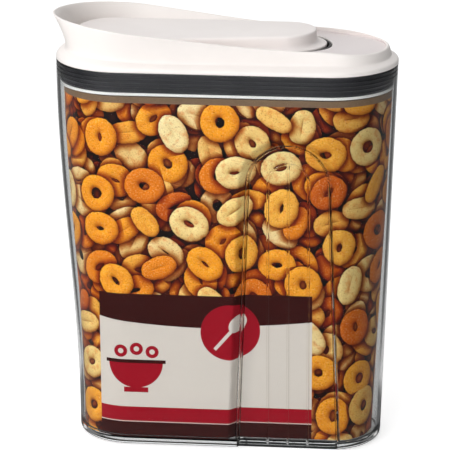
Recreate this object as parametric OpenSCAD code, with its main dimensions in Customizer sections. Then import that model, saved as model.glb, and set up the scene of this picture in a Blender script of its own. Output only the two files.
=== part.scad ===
// Tall clear container with a white spouted lid and a hinged flap over its pour opening.
// Millimetres. The origin lies under the middle of the rim, on the face that the container stands on.
// X runs along the wide side with the spout towards -X, -Y is the front and Z is up.

/* [Container] */
// Width of the container over its rim
body_w = 236; // [210:2:270]
// Depth of the container over its rim
body_d = 96; // [90:1:110]
// Height of the lid's seat over the ground
body_h = 272; // [235:1:320]
// Thickness of the clear wall
body_wall = 2.5; // [2:0.1:3.2]
// How far the spout side draws in from the rim to the base
lean_spout = 13.5; // [6:0.5:18]
// How far the grip side draws in from the rim to the base
lean_grip = 9; // [5:0.5:14]
// How far the front and the back draw in from the rim to the base
lean_face = 9.5; // [6:0.5:12]
// Radius round the bottom edge
base_round = 5; // [3:0.5:7]
// Height of the inside floor over the ground
floor_z = 6; // [5:0.5:9]
// Depth of the hollow under the base
kick_d = 2.5; // [1.5:0.5:3]
// Width of the foot ring round that hollow
foot_ring = 9; // [6:1:14]

/* [Hand grip] */
// Place of the arched recess along the wide side
grip_x = 46; // [38:1:54]
// Depth of the recess
grip_d = 6; // [4:0.5:7]
// Half width of the recess where its arch springs
grip_half = 28.3; // [22:0.5:32]
// Half width of the recess at the base
grip_half_low = 35; // [28:0.5:38]
// Height at which the arch springs
grip_z = 194; // [150:1:205]
// Half width of the ribbed panel in the recess
rib_half = 14; // [10:0.5:17]
// Width and height of the ribs in the recess
rib_w = 1.6; // [1.2:0.1:2.4]

/* [Printed sleeve] */
// Thickness of the card
card_t = 0.8; // [0.6:0.1:1.2]
// Gap between the card and the clear wall
card_gap = 3.2; // [1:0.1:5]
// Height of the card's top edge below the lid's plug
card_drop = 0.8; // [0.6:0.2:20]

/* [Lid] */
// Height of the straight skirt above the seat
skirt_h = 2.8; // [2:0.2:3.4]
// Wall of the lid
lid_wall = 2; // [1.6:0.1:2.4]
// Height of the shoulder over the seat
shoulder_h = 6.4; // [5.6:0.2:7]
// Height of the spout's tip over the seat
spout_h = 31; // [26:0.5:38]
// Height of the low rim over the seat
rim_h = 14.7; // [14:0.1:16.5]
// How far the spout's tip leans out past its foot
spout_lean = 8.9; // [6:0.1:10]
// How far the front and back of the spout flare out over their foot
flare = 6; // [4:0.1:7]
// Height of the deck beside the flap over the seat
deck_h = 12; // [12:0.1:13]
// Height of the ledge under the flap over the seat
ledge_h = 9; // [9:0.1:9.6]
// Depth of the lid's plug in the container
plug_d = 17.2; // [15:0.2:20]

/* [Gasket] */
// Thickness of the gasket with its fins
gasket_t = 2.7; // [2.3:0.1:3.2]
// Height of a fin
fin_d = 1.2; // [0.8:0.1:1.5]
// Number of fins
fins = 5; // [3:1:6]

/* [Flap] */
// Half width of the flap at the spout
flap_half = 35; // [32:0.5:36]
// Radius of the flap's hinged end
flap_end = 24.8; // [23:0.2:26]
// Height of the flap's top over the seat at the spout
flap_top = 18.6; // [18:0.1:20]
// Rise of the flap's top over its length
flap_rise = 3.7; // [0:0.1:4.2]
// Width of the low flange at the hinged end
flap_step = 7; // [6:0.1:9]
// Gap between the flap's hinged end and the deck
flap_gap = 2.9; // [2.7:0.1:3.4]
// Wall of the flap
flap_wall = 1.8; // [1.4:0.1:2.2]
// Thickness of the seal under the flap
seal_t = 1.2; // [0.9:0.1:1.3]

/* [Hinge] */
// Diameter of the hinge pins
pin_d = 3; // [2.4:0.1:3.2]
// Clearance round a pin in the flap
pin_clear = 0.05; // [0.03:0.01:0.09]
// Depth of a pin in the lid
pin_grip = 6; // [4:0.5:7]
// Depth of a pin in the flap
pin_reach = 6.5; // [5:0.5:8]

/* [Hidden] */

end_steps = 16;
// Steps along each side of the lid, whose rim curves there
rim_steps = 4;
seat_z = body_h;
body_end = body_d / 2;
body_xc = body_w / 2 - body_end;
run_gap = 0.3;
rest_gap = 0.2;
// Clearance between the gasket's fins and the wall they would press on
fin_gap = 0.15;
lip_h = 2.7;
floor_t = 2;
flange_h = 2.2;
plate_t = 1;
// Clearance between the sleeve and the recesses of the grip
grip_clear = 0.9;
// Clearance between the liner's lip and the container's wall
lip_clear = 0.5;
// Room past each end of a pin, and between the flap's ears and the deck
pin_room = 0.5;
ear_gap = 0.9;
// Floor of an ear behind its pin
ear_floor = 1.5;
// Depth, wall and clearance of the ring that drops into the pour opening
plug_ring_d = 3.6;
plug_ring_t = 1.6;
plug_clear = 1.2;
// Thickness of the soft strip behind the flap, and its depth below the deck
heel_t = 1.2;
heel_drop = 0.8;

// Centres of the rounded ends, measured from the container's own ends
spout_end = -body_w / 2;
grip_end = body_w / 2;
spout_x = spout_end + 56;
low_x = grip_end - 42;
flap_left = spout_end + 38;
flap_right = grip_end - 74;
chute_right = grip_end - 102;

// Outline with two rounded ends: [centre, length, half width, power] of the left end, then of the right
spout_foot = [spout_x, 49.4, 41, 2.6, low_x, 38, 38, 2];
spout_rim = [spout_x + 2, 51.4 + spout_lean, 41 + flare, 1.9, low_x, 36, 36.5, 2];
flap_base = [flap_left, 26, flap_half, 2.4, flap_right, flap_end, flap_end, 2];
flap_land = [flap_left, 25.2, flap_half - 0.8, 2.4, flap_right + 1.6 - flap_step, flap_end - 1.6, flap_end - 1.6, 2];
chute_hole = [flap_left, 19, flap_half - 6.5, 2.4, chute_right, 18, 20, 2];

// Place of the hinge axis, a little below the deck
hinge_x = flap_right + 2;
hinge_z = seat_z + deck_h - 2.2;
boss_r = pin_d / 2 + 1.2;
pin_y = flap_end + flap_gap;
roof_z = seat_z + 3.2;
flap_z = seat_z + ledge_h + seal_t + rest_gap;
plug_z = seat_z - plug_d;
sleeve_z = floor_z + run_gap / 2;
sleeve_top = plug_z - card_drop;

// Eases from 0 to 1 with level ends
function ease(t) = let(u = min(max(t, 0), 1)) u * u * (3 - 2 * u);
function mix(a, b, t) = a + (b - a) * t;
function power(v, n) = sign(v) * pow(abs(v), 2 / n);

// An outline drawn in by d all round
function inset(o, d) = [o[0], o[1] - d, o[2] - d, o[3], o[4], o[5] - d, o[6] - d, o[7]];

// The points of an outline, counter-clockwise from the front of its right end
function outline(o, steps = 1) = concat(
    [for (i = [0 : end_steps]) let(t = -90 + 180 * i / end_steps)
        [o[4] + o[5] * power(cos(t), o[7]), o[6] * power(sin(t), o[7])]],
    [for (i = [1 : 1 : steps - 1]) side_point(o, i / steps, 1)],
    [for (i = [0 : end_steps]) let(t = 90 + 180 * i / end_steps)
        [o[0] + o[1] * power(cos(t), o[3]), o[2] * power(sin(t), o[3])]],
    [for (i = [1 : 1 : steps - 1]) side_point(o, 1 - i / steps, -1)]);

// A point on the back or the front of an outline, t of the way from its right end
function side_point(o, t, side) = [mix(o[4], o[0], t), side * mix(o[6], o[2], t)];

// A level ring of points at height z
function ring(o, z, steps = 1) = [for (p = outline(o, steps)) [p[0], p[1], z]];

// The container's outline at height z, drawn in by d
function body_outline(z, d) =
    let(low = 1 - min(max(z / seat_z, 0), 1),
        spout = lean_spout * ease((seat_z - 7 - z) / (seat_z - 17)),
        half = body_end - lean_face * low - d)
    [-body_xc + spout - lean_face * low, half, half, 2,
     body_xc - lean_grip * low + lean_face * low, half, half, 2];

// The height of the lid's rim over a point x: low over the grip side, rising to the spout's tip
function rim_z(x) = let(t = min(max((low_x - x) / (low_x - spout_end + 2), 0), 1))
    seat_z + mix(rim_h, spout_h, t * t * (2.5 - 1.5 * t));

// The top of the flap, drawn at a slight slope
function land_z(x) = seat_z + flap_top + flap_rise * (x - flap_left + 25) / (flap_right - flap_left + 43);

// A solid skinned over rings of points, with flat ends
module skin(rings) {
    n = len(rings[0]);
    m = len(rings);
    sides = [for (j = [0 : m - 2], i = [0 : n - 1]) let(k = (i + 1) % n)
        each [[j * n + i, (j + 1) * n + k, j * n + k], [j * n + i, (j + 1) * n + i, (j + 1) * n + k]]];
    bottom = [for (i = [0 : n - 1]) i];
    top = [for (i = [n - 1 : -1 : 0]) (m - 1) * n + i];
    polyhedron(points = [for (r = rings) each r], faces = concat(sides, [bottom, top]), convexity = 8);
}

// A closed band skinned over rings that run up its outside and down its inside
module band(rings) {
    n = len(rings[0]);
    m = len(rings);
    sides = [for (j = [0 : m - 1], i = [0 : n - 1]) let(k = (i + 1) % n, u = (j + 1) % m)
        each [[j * n + i, u * n + k, j * n + k], [j * n + i, u * n + i, u * n + k]]];
    polyhedron(points = [for (r = rings) each r], faces = sides, convexity = 10);
}

// A flat plate of an outline between two heights
module plate(o, z0, z1) {
    translate([0, 0, z0])
        linear_extrude(z1 - z0)
            polygon(outline(o));
}

// The arched shape of the hand grip seen from the front, grown by g
module grip_face(half, half_low, g) {
    translate([grip_x, grip_z])
        circle(half + g, $fn = 64);
    polygon([[grip_x - half_low - g, -10], [grip_x + half_low + g, -10],
             [grip_x + half + g, grip_z], [grip_x - half - g, grip_z]]);
}

// The space in front of a plane that lies d inside the container's front face
module before_face(d) {
    low = body_end - lean_face - d;
    high = body_end - d;
    rotate([90, 0, 90])
        translate([0, 0, -body_w])
            linear_extrude(2 * body_w)
                polygon([[-low, 0], [-high, seat_z], [-body_d, seat_z], [-body_d, -20],
                         [-low + 20 * lean_face / seat_z, -20]]);
}

// What the recess takes from the front, with its ribs left standing
module grip_space(g) {
    intersection() {
        rotate([90, 0, 0])
            linear_extrude(body_d)
                grip_face(grip_half, grip_half_low, g);
        before_face(grip_d + g);
    }
}

module grip_ribs() {
    intersection() {
        rotate([90, 0, 0])
            linear_extrude(body_d)
                rib_face();
        difference() {
            before_face(grip_d + 0.5);
            before_face(grip_d - rib_w);
        }
        translate([-body_w / 2, -body_d, base_round])
            cube([body_w, body_d, seat_z]);
    }
}

// Three upright ribs under a low arch
module rib_face() {
    spring = grip_z + 6;
    difference() {
        union() {
            translate([grip_x, spring])
                circle(rib_half + rib_w / 2, $fn = 48);
            translate([grip_x - rib_half - rib_w / 2, 0])
                square([2 * rib_half + rib_w, spring]);
        }
        translate([grip_x, spring])
            circle(rib_half - rib_w / 2, $fn = 48);
        translate([grip_x - rib_half + rib_w / 2, -1])
            square([2 * rib_half - rib_w, spring + 1]);
    }
    translate([grip_x - rib_w / 2, 0])
        square([rib_w, spring + rib_half]);
}

module both_faces() {
    children();
    mirror([0, 1, 0])
        children();
}

module container_body() {
    round_steps = 4;
    rows = 9;
    top = seat_z - run_gap;
    outer = concat(
        [for (i = [0 : round_steps - 1]) let(t = 90 * i / round_steps)
            ring(body_outline(base_round * (1 - cos(t)), base_round * (1 - sin(t))), base_round * (1 - cos(t)))],
        [for (j = [0 : rows]) let(z = mix(base_round, top, j / rows)) ring(body_outline(z, 0), z)]);
    inner = [for (j = [0 : rows]) let(z = mix(floor_z, top + 1, j / rows))
        ring(body_outline(z, body_wall + (j == 0 ? 1 : 0)), z)];
    color([0.86, 0.9, 0.92, 0.35])
        union() {
            difference() {
                skin(outer);
                both_faces()
                    grip_space(0);
                difference() {
                    skin(inner);
                    both_faces()
                        grip_space(body_wall);
                }
                translate([0, 0, -1])
                    plate(inset(body_outline(0, base_round), foot_ring), 0, kick_d + 1);
            }
            both_faces()
                grip_ribs();
        }
}

// The printed card stands on the floor and clears the hand grips
module printed_sleeve() {
    rows = 8;
    inner_gap = body_wall + card_gap;
    flat = card_gap - grip_d - grip_clear;
    function card(z, d) = let(o = body_outline(z, inner_gap + d))
        [o[0], o[1], o[2] + flat, 2, o[4], o[5], o[6] + flat, 2];
    color([0.8, 0.5, 0.2])
        band(concat(
            [for (j = [0 : rows]) let(z = mix(sleeve_z, sleeve_top, j / rows)) ring(card(z, 0), z)],
            [for (j = [rows : -1 : 0]) let(z = mix(sleeve_z, sleeve_top, j / rows)) ring(card(z, card_t), z)]));
}

// One ring of the collar: s runs from its foot to its rim, d is the distance inside its outer face
function collar(s, d, foot) = let(
    lean = pow(s, 1.6),
    o = inset([for (k = [0 : 7]) mix(spout_foot[k], spout_rim[k], lean)], d))
    [for (p = outline(o, rim_steps)) [p[0], p[1], mix(foot, rim_z(p[0]), s)]];

module lid_shell() {
    foot = seat_z + shoulder_h;
    body = body_outline(seat_z, 0);
    opening = inset(flap_base, -flap_gap);
    well = inset(spout_foot, lid_wall - 0.6);
    color([0.98, 0.97, 0.95])
        difference() {
            union() {
                band(concat(
                    [ring(body, seat_z, rim_steps), ring(body, seat_z + skirt_h, rim_steps),
                     ring(inset(body, 0.7), seat_z + skirt_h + 1.5, rim_steps),
                     ring(inset(body, 2.4), seat_z + skirt_h + 2.5, rim_steps)],
                    [for (s = [0 : 0.2 : 1]) collar(s, 0, foot)],
                    [for (s = [1 : -0.25 : 0]) collar(s, lid_wall, seat_z + ledge_h)],
                    [ring(inset(spout_foot, lid_wall), roof_z, rim_steps),
                     ring(inset(body, body_wall), roof_z, rim_steps),
                     ring(inset(body, body_wall), seat_z, rim_steps)]));
                difference() {
                    plate(well, seat_z + ledge_h - floor_t, seat_z + deck_h);
                    plate(opening, seat_z + ledge_h - floor_t - 1, seat_z + deck_h + 1);
                }
                difference() {
                    intersection() {
                        plate(well, seat_z + ledge_h - floor_t, seat_z + ledge_h);
                        plate(inset(opening, -0.5), seat_z + ledge_h - floor_t, seat_z + ledge_h);
                    }
                    plate(chute_hole, seat_z, seat_z + deck_h);
                    heel_slot(opening);
                }
            }
            for (side = [-1, 1])
                hinge_bore(side, pin_d / 2);
        }
}

// The slot that the flap's heel turns down through
module heel_slot(opening) {
    intersection() {
        plate(opening, seat_z, seat_z + deck_h);
        translate([hinge_x - boss_r - 1, -body_d / 2, seat_z])
            cube([body_w, body_d, deck_h]);
    }
}

module hinge_bore(side, r) {
    translate([hinge_x, side * (pin_y - pin_reach - pin_room), hinge_z])
        rotate([-side * 90, 0, 0])
            cylinder(r = r, h = pin_reach + pin_grip + 2 * pin_room, $fn = 32);
}

module lid_liner() {
    wall_gap = body_wall + gasket_t;
    lip_gap = body_wall + lip_clear;
    chute = inset(chute_hole, -floor_t);
    color([0.95, 0.95, 0.93])
        difference() {
            union() {
                skin([ring(body_outline(plug_z, lip_gap), plug_z),
                      ring(body_outline(plug_z, lip_gap), plug_z + lip_h)]);
                plate(body_outline(plug_z, wall_gap), plug_z, roof_z);
            }
            difference() {
                plate(body_outline(plug_z, wall_gap + floor_t), plug_z + floor_t, roof_z + 1);
                plate(chute, plug_z, roof_z + 1);
            }
            plate(chute_hole, plug_z - 1, roof_z + 2);
        }
    color([0.95, 0.95, 0.93])
        difference() {
            plate(chute, plug_z + floor_t, seat_z + ledge_h - floor_t);
            plate(chute_hole, plug_z, seat_z + deck_h);
        }
}

// A soft band with fins that press on the container's wall
module main_gasket() {
    z0 = plug_z + lip_h;
    z1 = seat_z - run_gap;
    pitch = (z1 - z0) / fins;
    wall_gap = body_wall + gasket_t;
    function fin(z, d) = ring(body_outline(z, body_wall + fin_gap + d), z);
    color([0.2, 0.2, 0.22])
        band(concat(
            [for (j = [0 : fins - 1]) let(z = z0 + j * pitch)
                each [fin(z, fin_d), fin(z + pitch * 0.35, fin_d), fin(z + pitch * 0.6, 0), fin(z + pitch * 0.8, 0)]],
            [fin(z1, fin_d)],
            [ring(body_outline(plug_z, wall_gap), z1), ring(body_outline(plug_z, wall_gap), z0)]));
}

// A soft strip along the deck's edge, behind the flap's hinged end
module heel_seal() {
    outer = inset(flap_base, -flap_gap);
    z0 = seat_z + ledge_h - floor_t;
    color([0.12, 0.11, 0.11])
        difference() {
            plate(outer, z0, seat_z + deck_h - heel_drop);
            plate(inset(outer, heel_t), z0 - 1, seat_z + deck_h);
            translate([-body_w, -body_d, z0 - 1])
                cube([body_w + hinge_x + boss_r, 2 * body_d, deck_h]);
        }
}

module hinge_pin(side) {
    translate([hinge_x, side * (pin_y - pin_reach), hinge_z])
        rotate([-side * 90, 0, 0])
            cylinder(d = pin_d, h = pin_reach + pin_grip, $fn = 32);
}

module hinge_pin_front() {
    color([0.75, 0.76, 0.78])
        hinge_pin(-1);
}

module hinge_pin_rear() {
    color([0.75, 0.76, 0.78])
        hinge_pin(1);
}

// One ring of the flap: s runs from its flange to its raised land, d is the distance inside
function flap_ring(s, d) = inset([for (k = [0 : 7]) mix(flap_base[k], flap_land[k], s)], d);
function sloped(o, dz) = [for (p = outline(o)) [p[0], p[1], land_z(p[0]) - dz]];

module flap_shell() {
    flange = flap_z + flange_h;
    color([0.93, 0.92, 0.91])
        difference() {
            skin([ring(flap_base, flap_z), ring(flap_base, flange - 0.3), ring(inset(flap_base, 0.3), flange),
                  ring(flap_ring(0.6, 0), flange + 0.4), ring(flap_ring(0.88, 0), flange + 1.3),
                  ring(flap_land, flange + 3), sloped(flap_land, 0.9), sloped(inset(flap_land, 0.3), 0.25),
                  sloped(inset(flap_land, 0.9), 0)]);
            skin([ring(flap_ring(0, flap_wall), flap_z - 1), ring(flap_ring(0, flap_wall), flap_z + plate_t),
                  ring(flap_ring(1, flap_wall), flange), sloped(flap_ring(1, flap_wall), flap_wall)]);
            for (side = [-1, 1])
                ear_room(side);
        }
}

// Room for the ear of the plate below, which carries the pin
module ear_room(side) {
    translate([hinge_x, side * (pin_y - ear_gap), hinge_z])
        rotate([side * 90, 0, 0])
            cylinder(r = boss_r, h = pin_reach + ear_floor - ear_gap, $fn = 48);
}

module flap_underplate() {
    plug = inset(chute_hole, plug_clear);
    floor_plate = flap_ring(0, flap_wall);
    color([0.95, 0.95, 0.93])
        difference() {
            union() {
                plate(floor_plate, flap_z, flap_z + plate_t);
                difference() {
                    plate(plug, flap_z - plug_ring_d, flap_z);
                    plate(inset(plug, plug_ring_t), flap_z - plug_ring_d - 1, flap_z);
                }
                for (side = [-1, 1])
                    ear_room(side);
            }
            for (side = [-1, 1])
                hinge_bore(side, pin_d / 2 + pin_clear);
        }
}

module flap_seal() {
    color([0.2, 0.2, 0.22])
        difference() {
            plate(inset(chute_hole, -4), flap_z - seal_t, flap_z);
            plate(inset(chute_hole, plug_clear), flap_z - seal_t - 1, flap_z + 1);
        }
}

container_body();
printed_sleeve();
lid_shell();
lid_liner();
main_gasket();
heel_seal();
hinge_pin_front();
hinge_pin_rear();
flap_shell();
flap_underplate();
flap_seal();
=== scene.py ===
"""The looks of a clear cereal keeper: a printed card sleeve in a clear body, and a white lid with a spout and a flap.

Sizes are in millimetres, and become metres where a mesh is written. X runs along the wide side with the spout towards
-X, -Y is the front and Z is up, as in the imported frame.
"""

import logging
import math
from dataclasses import dataclass
from enum import Enum
from typing import Callable, Sequence

import bpy
import numpy as np
from mathutils import Matrix, Vector


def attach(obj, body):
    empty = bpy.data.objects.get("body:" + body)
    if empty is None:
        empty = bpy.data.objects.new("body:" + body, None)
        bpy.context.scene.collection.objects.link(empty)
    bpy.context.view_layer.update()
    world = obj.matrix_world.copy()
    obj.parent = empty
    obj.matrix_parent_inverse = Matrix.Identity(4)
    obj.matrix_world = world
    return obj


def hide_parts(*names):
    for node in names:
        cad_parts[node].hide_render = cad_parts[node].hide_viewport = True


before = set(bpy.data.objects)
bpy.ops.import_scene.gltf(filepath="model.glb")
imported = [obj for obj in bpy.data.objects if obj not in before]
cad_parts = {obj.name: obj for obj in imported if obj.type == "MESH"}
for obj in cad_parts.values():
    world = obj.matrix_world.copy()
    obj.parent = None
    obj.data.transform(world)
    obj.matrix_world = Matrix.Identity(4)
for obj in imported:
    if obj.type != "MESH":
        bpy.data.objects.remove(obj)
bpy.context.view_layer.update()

LOG = logging.getLogger("keeper")
MM = 0.001
Ring = np.ndarray
Colour = tuple[float, float, float, float]
Place = tuple[float, float, float]
Material = bpy.types.Material
Node = bpy.types.Node
Piece = bpy.types.Object
Socket = bpy.types.NodeSocket


class Slot(Enum):
    """The finishes that the record names."""

    CLEAR = "clear_plastic"
    CARD = "printed_card"
    WHITE = "white_plastic"
    SLATE = "slate_rubber"
    BLACK = "black_rubber"
    STEEL = "pin_steel"


class Body(Enum):
    """The bodies that move apart."""

    CONTAINER = "container"
    LID = "lid"
    FLAP = "flap"


def srgb(red: float, green: float, blue: float) -> Colour:
    """A colour written as it looks, 0 to 255, as the linear one that a shader takes."""
    channel = lambda c: (c / 255 / 12.92) if c <= 10.31 else ((c / 255 + 0.055) / 1.055) ** 2.4
    return channel(red), channel(green), channel(blue), 1.0


def mix(a: float, b: float, t: float) -> float:
    """A value t of the way from a to b."""
    return a + (b - a) * t


def smooth(t: np.ndarray | float) -> np.ndarray | float:
    """Eases from 0 to 1 with level ends."""
    u = np.clip(t, 0, 1)
    return u * u * (3 - 2 * u)


def link(name: str, data: bpy.types.ID) -> Piece:
    """Puts a new object with its data in the scene."""
    piece = bpy.data.objects.new(name, data)
    bpy.context.scene.collection.objects.link(piece)
    return piece


@dataclass(frozen=True)
class Stadium:
    """An outline with two rounded ends: the centre, length, half width and power of each."""

    left: float
    left_len: float
    left_half: float
    left_power: float
    right: float
    right_len: float
    right_half: float
    right_power: float

    def inset(self, d: float) -> "Stadium":
        """The outline drawn in by d all round."""
        return Stadium(self.left, self.left_len - d, self.left_half - d, self.left_power,
                       self.right, self.right_len - d, self.right_half - d, self.right_power)

    def mix(self, other: "Stadium", t: float) -> "Stadium":
        """An outline t of the way to another."""
        return Stadium(*(mix(a, b, t) for a, b in zip(self.__dict__.values(), other.__dict__.values())))

    def half(self, x: np.ndarray) -> np.ndarray:
        """The half width over each x, and 0 beyond the ends."""
        past_left = np.clip((self.left - x) / self.left_len, 0, 1)
        past_right = np.clip((x - self.right) / self.right_len, 0, 1)
        along = np.clip((x - self.left) / (self.right - self.left), 0, 1)
        side = mix(self.left_half, self.right_half, along)
        side = side * (1 - past_left ** self.left_power) ** (1 / self.left_power)
        return side * (1 - past_right ** self.right_power) ** (1 / self.right_power)

    def hold(self, points: np.ndarray) -> np.ndarray:
        """Points of another outline, kept inside this one."""
        x = np.clip(points[:, 0], self.left - self.left_len, self.right + self.right_len)
        room = self.half(x)
        return np.column_stack([x, np.clip(points[:, 1], -room, room)])


class RingPlan:
    """Where the points of a ring stand on an outline, mirrored front to back."""

    def __init__(self, ends: Sequence[float], side: Sequence[float], left: Sequence[float] | None = None) -> None:
        """Lays the points out.

        Args:
            ends: angles from -90 to 90 of the right end, and of the left end if it has none of its own.
            side: shares of the way from the right end to the left one, without 0 and 1.
            left: angles from -90 to 90 of the left end.
        """
        self.right = np.radians(np.array(ends))
        self.left = np.radians(np.array(ends if left is None else left))
        self.side = np.array(side)

    def points(self, o: Stadium) -> np.ndarray:
        """The plan's points on an outline, counter-clockwise from the front of its right end."""
        power = lambda v, n: np.sign(v) * np.abs(v) ** (2 / n)
        right = np.column_stack([o.right + o.right_len * power(np.cos(self.right), o.right_power),
                                 o.right_half * power(np.sin(self.right), o.right_power)])
        left = np.column_stack([o.left - o.left_len * power(np.cos(self.left), o.left_power),
                                -o.left_half * power(np.sin(self.left), o.left_power)])
        back = np.column_stack([mix(o.right, o.left, self.side), mix(o.right_half, o.left_half, self.side)])
        front = back[::-1] * np.array([1, -1])
        return np.vstack([right, back, left, front])

    def level(self, o: Stadium, z: float) -> Ring:
        """A level ring on an outline."""
        xy = self.points(o)
        return np.column_stack([xy, np.full(len(xy), z)])

    def stack(self, *rows: tuple[Stadium, float, float]) -> list[Ring]:
        """Level rings, each on an outline drawn in by a length, at a height."""
        return [self.level(o.inset(d), z) for o, d, z in rows]

    def pairs(self) -> list[tuple[int, int]]:
        """Front and back points that face each other, from the right tip to the left tip."""
        e, s, w = len(self.right) - 1, len(self.side), len(self.left) - 1
        right = [(i, e - i) for i in range(e // 2, -1, -1)]
        sides = [(e + s + w + 1 + s - k, e + 1 + k) for k in range(s)]
        left = [(e + 1 + s + w - i, e + 1 + s + i) for i in range(w // 2 + 1)]
        return right + sides + left


def flowing(keys: Sequence[Ring], steps: int) -> list[Ring]:
    """Rings on a smooth surface through key rings.

    Args:
        keys: the rings to pass through.
        steps: steps from each key ring to the next.

    Returns:
        The rings, with the first and the last key among them.
    """
    gap = [max(float(np.linalg.norm(b - a, axis=1).mean()), 1e-6) for a, b in zip(keys, keys[1:])]
    slope = [(b - a) / g for a, b, g in zip(keys, keys[1:], gap)]
    tangent = [slope[0]]
    for k in range(1, len(keys) - 1):
        tangent.append((slope[k - 1] * gap[k] + slope[k] * gap[k - 1]) / (gap[k - 1] + gap[k]))
    tangent.append(slope[-1])
    rings = [keys[0]]
    for k, g in enumerate(gap):
        for i in range(1, steps + 1):
            t = i / steps
            stay, leave, reach = 2 * t ** 3 - 3 * t ** 2 + 1, t ** 3 - 2 * t ** 2 + t, t ** 3 - t ** 2
            rings.append(keys[k] * stay + tangent[k] * (leave * g)
                         + keys[k + 1] * (1 - stay) + tangent[k + 1] * (reach * g))
    return rings


class Skin:
    """A mesh that grows from rings."""

    def __init__(self) -> None:
        """Starts empty."""
        self.verts: list[np.ndarray] = []
        self.faces: list[tuple[int, ...]] = []
        self.mats: list[int] = []
        self.count = 0

    def _add(self, rings: Sequence[Ring]) -> list[int]:
        """Adds rings of points, and gives the index that each starts at."""
        starts = []
        for r in rings:
            starts.append(self.count)
            self.verts.append(r)
            self.count += len(r)
        return starts

    def band(self, rings: Sequence[Ring], closed: bool = False, bottom: RingPlan | None = None,
             top: RingPlan | None = None, mat: int = 0) -> None:
        """Skins rings that run up the outside of a piece, over it and down its inside.

        Args:
            rings: the rings, in that order.
            closed: whether the last ring joins the first.
            bottom: the plan that closes the first ring with a flat face, facing down.
            top: the plan that closes the last ring, facing up.
            mat: the material's place on the piece.
        """
        starts = self._add(rings)
        n = len(rings[0])
        follow = zip(starts, starts[1:] + starts[:1]) if closed else zip(starts, starts[1:])
        for a, b in follow:
            for i in range(n):
                k = (i + 1) % n
                self.faces.append((a + i, a + k, b + k, b + i))
                self.mats.append(mat)
        for plan, start, up in ((bottom, starts[0], False), (top, starts[-1], True)):
            if plan is not None:
                self._cap(plan, start, up, mat)

    def _cap(self, plan: RingPlan, start: int, up: bool, mat: int) -> None:
        """Closes a ring with strips from its front to its back."""
        pairs = plan.pairs()
        for (f0, b0), (f1, b1) in zip(pairs, pairs[1:]):
            loop = [start + i for i in dict.fromkeys([f0, b0, b1, f1])]
            self.faces.append(tuple(loop if up else loop[::-1]))
            self.mats.append(mat)

    def build(self, name: str, materials: Sequence[Material], sharp: float = 32.0) -> Piece:
        """Makes the object.

        Args:
            name: the piece's name.
            materials: its materials, by place.
            sharp: the angle in degrees over which an edge shows as one.

        Returns:
            The object, at the origin.
        """
        mesh = bpy.data.meshes.new(name)
        mesh.from_pydata((np.vstack(self.verts) * MM).tolist(), [], self.faces)
        for m in materials:
            mesh.materials.append(m)
        mesh.polygons.foreach_set("material_index", self.mats)
        mesh.polygons.foreach_set("use_smooth", [True] * len(mesh.polygons))
        mesh.update()
        mesh.set_sharp_from_angle(angle=math.radians(sharp))
        return link(name, mesh)


def sum_of(operation: str, turned: bool = False) -> Callable[["Num", object], "Num"]:
    """The method for one sum on two numbers.

    Args:
        operation: the sum.
        turned: whether the number comes after the other.

    Returns:
        The method.
    """
    def method(self: "Num", other: object) -> "Num":
        """Adds the sum's node."""
        return self.graph.math(operation, *((other, self) if turned else (self, other)))
    return method


class Num:
    """A number in a node tree. Sums on it add nodes."""

    def __init__(self, graph: "Graph", socket: Socket) -> None:
        """Takes the socket that gives the number."""
        self.graph = graph
        self.socket = socket

    __add__ = __radd__ = sum_of("ADD")
    __mul__ = __rmul__ = sum_of("MULTIPLY")
    __sub__, __rsub__ = sum_of("SUBTRACT"), sum_of("SUBTRACT", turned=True)
    __truediv__, __pow__ = sum_of("DIVIDE"), sum_of("POWER")
    __gt__, __lt__ = sum_of("GREATER_THAN"), sum_of("LESS_THAN")

    def do(self, operation: str, *others: object) -> "Num":
        """One sum with this number first."""
        return self.graph.math(operation, self, *others)

    def size(self) -> "Num":
        """Its size without its sign."""
        return self.do("ABSOLUTE")

    def sign(self) -> "Num":
        """Its sign."""
        return self.do("SIGN")

    def at_least(self, low: object) -> "Num":
        """The larger of two."""
        return self.do("MAXIMUM", low)

    def at_most(self, high: object) -> "Num":
        """The smaller of two."""
        return self.do("MINIMUM", high)

    def across(self, other: "Num") -> "Num":
        """The length of a flat vector that has this and another as its parts."""
        return (self * self + other * other).do("SQRT")


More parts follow.
